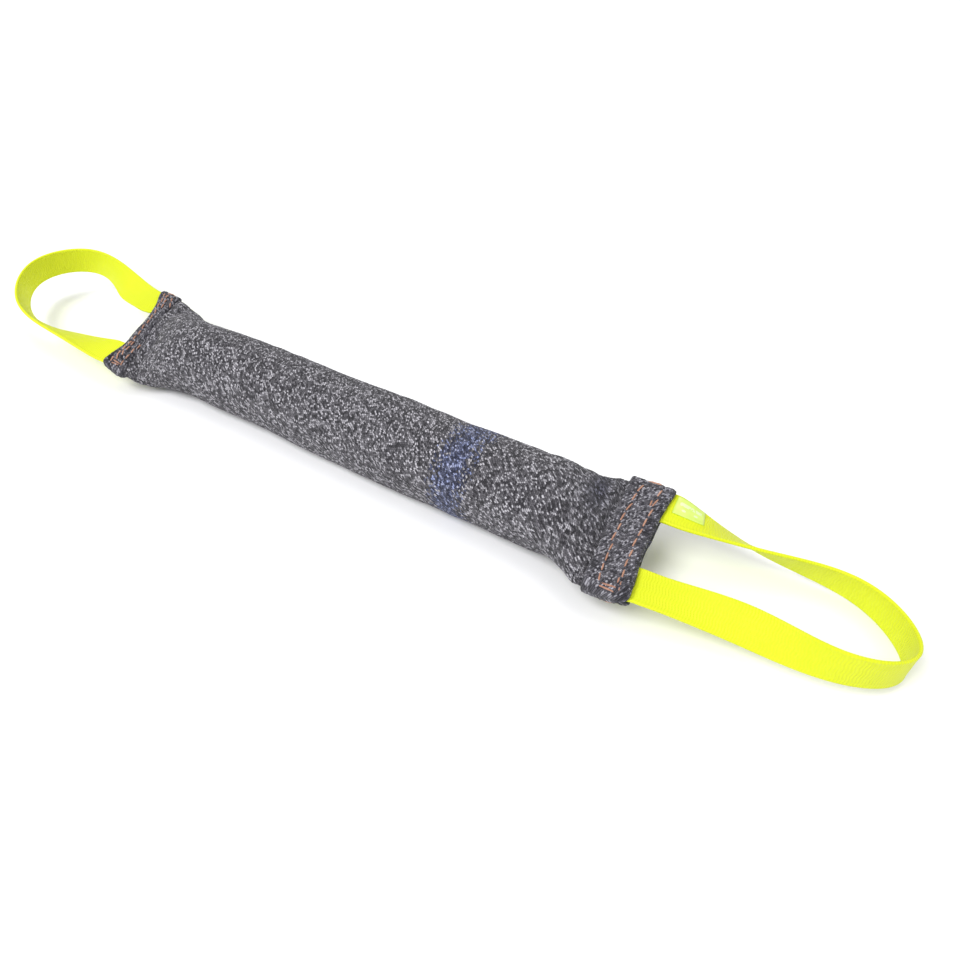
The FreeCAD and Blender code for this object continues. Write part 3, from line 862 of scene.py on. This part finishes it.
def cloth_material(name, dark, middle, light, shares, navy):
    """Woven melange cloth: floats of mixed yarn, fibres and shaded gaps."""
    made = Nodes(name)
    a, b = made.uv()
    row = made.math("FLOOR", b)
    across = made.math("SUBTRACT", b, row)
    shifted = made.math("MULTIPLY_ADD", row, ROW_SHIFT, a)
    cell = made.math("FLOOR", shifted)
    along = made.math("SUBTRACT", shifted, cell)
    key = made.add("CombineXYZ")
    made.put(key.inputs[0], cell)
    made.put(key.inputs[1], row)
    white = made.add("TexWhiteNoise", noise_dimensions="2D")
    made.put(white.inputs["Vector"], key.outputs[0])
    chance, tint = white.outputs["Value"], white.outputs["Color"]
    place = made.object_place()
    clump = made.noise(place, 260, 2.0)
    chance = made.math("ADD", chance, made.math("MULTIPLY", made.math("SUBTRACT", clump, 0.5), 0.35))
    height = made.math("MULTIPLY", made.math("SUBTRACT", 1.0, made.arc(across, 2.0)),
                       made.math("SUBTRACT", 1.0, made.arc(along, 4.0)))
    yarn = made.ramp(chance, list(zip(shares, (dark, middle, middle, light))))
    fibre = made.noise(place, 1500, 4.0, 0.7)
    strands = made.ramp(fibre, [(0.3, (0.4, 0.4, 0.4)), (0.7, WHITE)])
    yarn = made.mix(0.5, yarn, strands, "MULTIPLY")
    # painted shade: the cloth is darker in the gaps between the floats, by the yarn's height
    gaps = made.ramp(height, [(0.0, GAP_SHADE), (0.75, WHITE)])
    colour = made.mix(1.0, yarn, gaps, "MULTIPLY")
    if navy:
        split = made.add("SeparateXYZ")
        made.put(split.inputs[0], place)
        ragged = made.add("SeparateColor")
        made.put(ragged.inputs[0], tint)
        jitter = made.math("MULTIPLY_ADD", ragged.outputs[1], 0.009, -0.0045)
        x = made.math("ADD", split.outputs[0], jitter)
        inside = made.math("MULTIPLY", made.math("GREATER_THAN", x, BAND[0]),
                           made.math("LESS_THAN", x, BAND[1]))
        inside = made.math("MULTIPLY", inside, made.math("MULTIPLY_ADD", ragged.outputs[2], 0.4, 0.6))
        blue = made.mix(1.0, colour, BAND_TINT, "MULTIPLY")
        navy_dark = made.mix(1.0, blue, BAND_LIFT, "ADD")
        colour = made.mix(inside, colour, navy_dark)
    # painted shade: the cloth is darkened where the mesh's shade attribute is set, in the crease before
    # the cuff, the pleat valleys, the lengthwise seam and the mouths of the hems; the darker outer strip
    # of the hems is darkened the same way
    shade_share = made.add("Attribute", attribute_name="shade").outputs["Fac"]
    folded = made.mix(1.0, colour, SHADE_TINT, "MULTIPLY")
    colour = made.mix(shade_share, colour, folded)
    made.put(made.shader.inputs["Base Color"], colour)
    made.put(made.shader.inputs["Roughness"], made.math("MULTIPLY_ADD", fibre, 0.2, 0.78))
    made.put(made.shader.inputs["Sheen Weight"], 0.12)
    made.put(made.shader.inputs["Sheen Roughness"], 0.5)
    made.put(made.shader.inputs["Specular IOR Level"], 0.25)
    bumps = made.math("MULTIPLY_ADD", fibre, 0.5, height)
    made.bump(bumps, 0.0004, 0.9)
    return made


def webbing_material():
    """Fluorescent yellow polyester webbing with fine ribs, and a faint painted glow."""
    made = Nodes("neon_webbing")
    run, across = made.uv()
    zigzag = made.math("PINGPONG", across, 1.0)
    phase = made.math("MULTIPLY_ADD", zigzag, 0.5, run)
    wave = made.math("COSINE", made.math("MULTIPLY", phase, 2 * math.pi))
    yarns = made.math("COSINE", made.math("MULTIPLY", across, 2 * math.pi * 4.0))
    place = made.object_place()
    soil = made.noise(place, 40, 3.0)
    thread = made.noise(place, 1800, 3.0, 0.6)
    base = made.ramp(soil, [(0.3, (0.64, 0.70, 0.006)), (0.7, (0.70, 0.75, 0.012))])
    rib = made.math("MULTIPLY_ADD", wave, 0.5, 0.5)
    between = made.math("MULTIPLY", made.math("SUBTRACT", 1.0, rib), 0.25)
    shaded = made.mix(between, base, (0.53, 0.61, 0.004))
    made.put(made.shader.inputs["Base Color"], shaded)
    made.put(made.shader.inputs["Roughness"], made.math("MULTIPLY_ADD", thread, 0.2, 0.45))
    made.put(made.shader.inputs["Sheen Weight"], 0.06)
    made.put(made.shader.inputs["Specular IOR Level"], 0.3)
    # painted glow: a faint emission makes the webbing give off light of its own, whatever the lamps
    made.put(made.shader.inputs["Emission Color"], (0.80, 1.0, 0.01))
    made.put(made.shader.inputs["Emission Strength"], 0.05)
    made.put(made.shader.inputs["Subsurface Weight"], 0.1)
    made.put(made.shader.inputs["Subsurface Radius"], (0.002, 0.002, 0.0005))
    ribs = made.math("MULTIPLY_ADD", yarns, 0.25, rib)
    height = made.math("ADD", ribs, made.math("MULTIPLY", thread, 0.4))
    made.bump(height, 0.00016, 0.8)
    return made


def thread_material():
    """Copper sewing thread."""
    made = Nodes("copper_thread")
    place = made.object_place()
    strand = made.noise(place, 1400, 3.0, 0.6)
    tone = made.noise(place, 120, 1.0)
    base = made.ramp(tone, [(0.3, (0.40, 0.19, 0.12)), (0.7, (0.58, 0.31, 0.21))])
    fibres = made.ramp(strand, [(0.35, (0.4, 0.35, 0.3)), (0.7, WHITE)])
    made.put(made.shader.inputs["Base Color"], made.mix(0.4, base, fibres, "MULTIPLY"))
    made.put(made.shader.inputs["Roughness"], made.math("MULTIPLY_ADD", strand, 0.2, 0.45))
    made.put(made.shader.inputs["Sheen Weight"], 0.2)
    made.bump(strand, 0.0002, 0.6)
    return made


def label_material():
    """A thin translucent tag with a plain printed bar and two plain dots."""
    made = Nodes("tag_film")
    along, across = made.uv()
    from_line = made.math("ABSOLUTE", made.math("ADD", across, 0.3))
    from_middle = made.math("ABSOLUTE", made.math("SUBTRACT", along, 0.5))
    bar = made.math("MULTIPLY", made.math("LESS_THAN", from_line, 0.2),
                    made.math("LESS_THAN", from_middle, 0.38))
    place = made.object_place()
    flecks = made.noise(place, 900, 2.0)
    bar = made.math("MULTIPLY", bar, made.math("GREATER_THAN", flecks, 0.42))
    beside_dot = made.math("SUBTRACT", made.math("PINGPONG", along, 0.5), 0.3)
    above_dot = made.math("SUBTRACT", across, 0.35)
    far_from_dot = made.math("ADD", made.math("POWER", made.math("MULTIPLY", beside_dot, 5.0), 2.0),
                             made.math("POWER", made.math("MULTIPLY", above_dot, 2.6), 2.0))
    dots = made.math("LESS_THAN", far_from_dot, 0.12)
    printed = made.math("MULTIPLY", made.math("MAXIMUM", bar, dots), 0.5)
    film = made.ramp(made.noise(place, 260, 2.0), [(0.3, (0.60, 0.78, 0.12)), (0.7, (0.68, 0.84, 0.19))])
    made.put(made.shader.inputs["Base Color"], made.mix(printed, film, (0.82, 0.88, 0.74)))
    made.put(made.shader.inputs["Roughness"], made.math("MULTIPLY_ADD", flecks, 0.15, 0.3))
    made.put(made.shader.inputs["Coat Weight"], 0.3)
    made.put(made.shader.inputs["Coat Roughness"], 0.25)
    made.bump(flecks, 0.0001, 0.4)
    return made


# ---------------------------------------------------------------- build
sleeve = make_sleeve()
left_hem = make_hem(LEFT, "left_hem_cloth", "left_end_hem")
right_cuff = make_hem(RIGHT, "right_cuff_cloth", "right_end_cuff")
threads = make_rows(LEFT, left_hem) + make_rows(RIGHT, right_cuff)
left_strap, _ = make_strap(LEFT)
right_strap, right_frames = make_strap(RIGHT)
label = make_label(RIGHT, right_frames)

sleeve_cloth = cloth_material("melange_cloth", (0.042, 0.040, 0.047), (0.150, 0.143, 0.159),
                              (0.66, 0.64, 0.685), (0.12, 0.46, 0.60, 0.98), True)
hem_cloth = cloth_material("hem_melange", (0.042, 0.040, 0.050), (0.140, 0.134, 0.155),
                           (0.54, 0.525, 0.58), (0.12, 0.46, 0.62, 1.0), False)
sleeve_cloth.finish(sleeve)
hem_cloth.finish(left_hem)
hem_cloth.finish(right_cuff)
webbing = webbing_material()
webbing.finish(left_strap)
webbing.finish(right_strap)
thread = thread_material()
for piece in threads:
    thread.finish(piece)
label_material().finish(label)


# ---------------------------------------------------------------- stage, lights, camera
FLOOR_HALF = 12.0


def make_floor():
    mesh = bpy.data.meshes.new("floor")
    signs = ((-1, -1), (1, -1), (1, 1), (-1, 1))
    corners = [(x * FLOOR_HALF, y * FLOOR_HALF, 0) for x, y in signs]
    mesh.from_pydata(corners, [], [[0, 1, 2, 3]])
    floor = bpy.data.objects.new("floor", mesh)
    bpy.context.scene.collection.objects.link(floor)
    made = Nodes("floor_paper")
    made.put(made.shader.inputs["Base Color"], (0.93, 0.93, 0.94))
    made.put(made.shader.inputs["Roughness"], 0.9)
    made.finish(floor)


def make_light(name, place, size, energy, colour):
    data = bpy.data.lights.new(name, "AREA")
    data.shape = "DISK"
    data.size = size
    data.energy = energy
    data.color = colour
    light = bpy.data.objects.new(name, data)
    light.location = place
    light.rotation_euler = (-Vector(place)).to_track_quat("-Z", "Y").to_euler()
    bpy.context.scene.collection.objects.link(light)


def make_camera():
    data = bpy.data.cameras.new("camera")
    data.sensor_width = 36.0
    data.lens = 31.875
    data.clip_start, data.clip_end = 0.01, 20.0
    camera = bpy.data.objects.new("camera", data)
    right = Vector((0.8502, 0.5262, 0.0184))
    up = Vector((-0.3620, 0.5587, 0.7462))
    back = Vector((0.3823, -0.6411, 0.6655))
    turn = Matrix((right, up, back)).transposed().to_4x4()
    camera.matrix_world = Matrix.Translation((0.2108, -0.2399, 0.2661)) @ turn
    bpy.context.scene.collection.objects.link(camera)
    bpy.context.scene.camera = camera


make_floor()
make_light("key", (-0.9, -2.5, 3.5), 2.4, 160, (1.0, 1.0, 1.0))
make_light("top", (0.7, 0.9, 3.9), 3.2, 42, (1.0, 0.99, 0.98))
make_light("fill", (3.3, -1.5, 1.8), 2.7, 20, (0.97, 0.98, 1.0))
world = bpy.data.worlds.new("studio")
world.use_nodes = True
world.node_tree.nodes["Background"].inputs["Color"].default_value = (0.97, 0.98, 1.0, 1.0)
world.node_tree.nodes["Background"].inputs["Strength"].default_value = 0.50
bpy.context.scene.world = world
bpy.context.scene.view_settings.view_transform = "Standard"
make_camera()
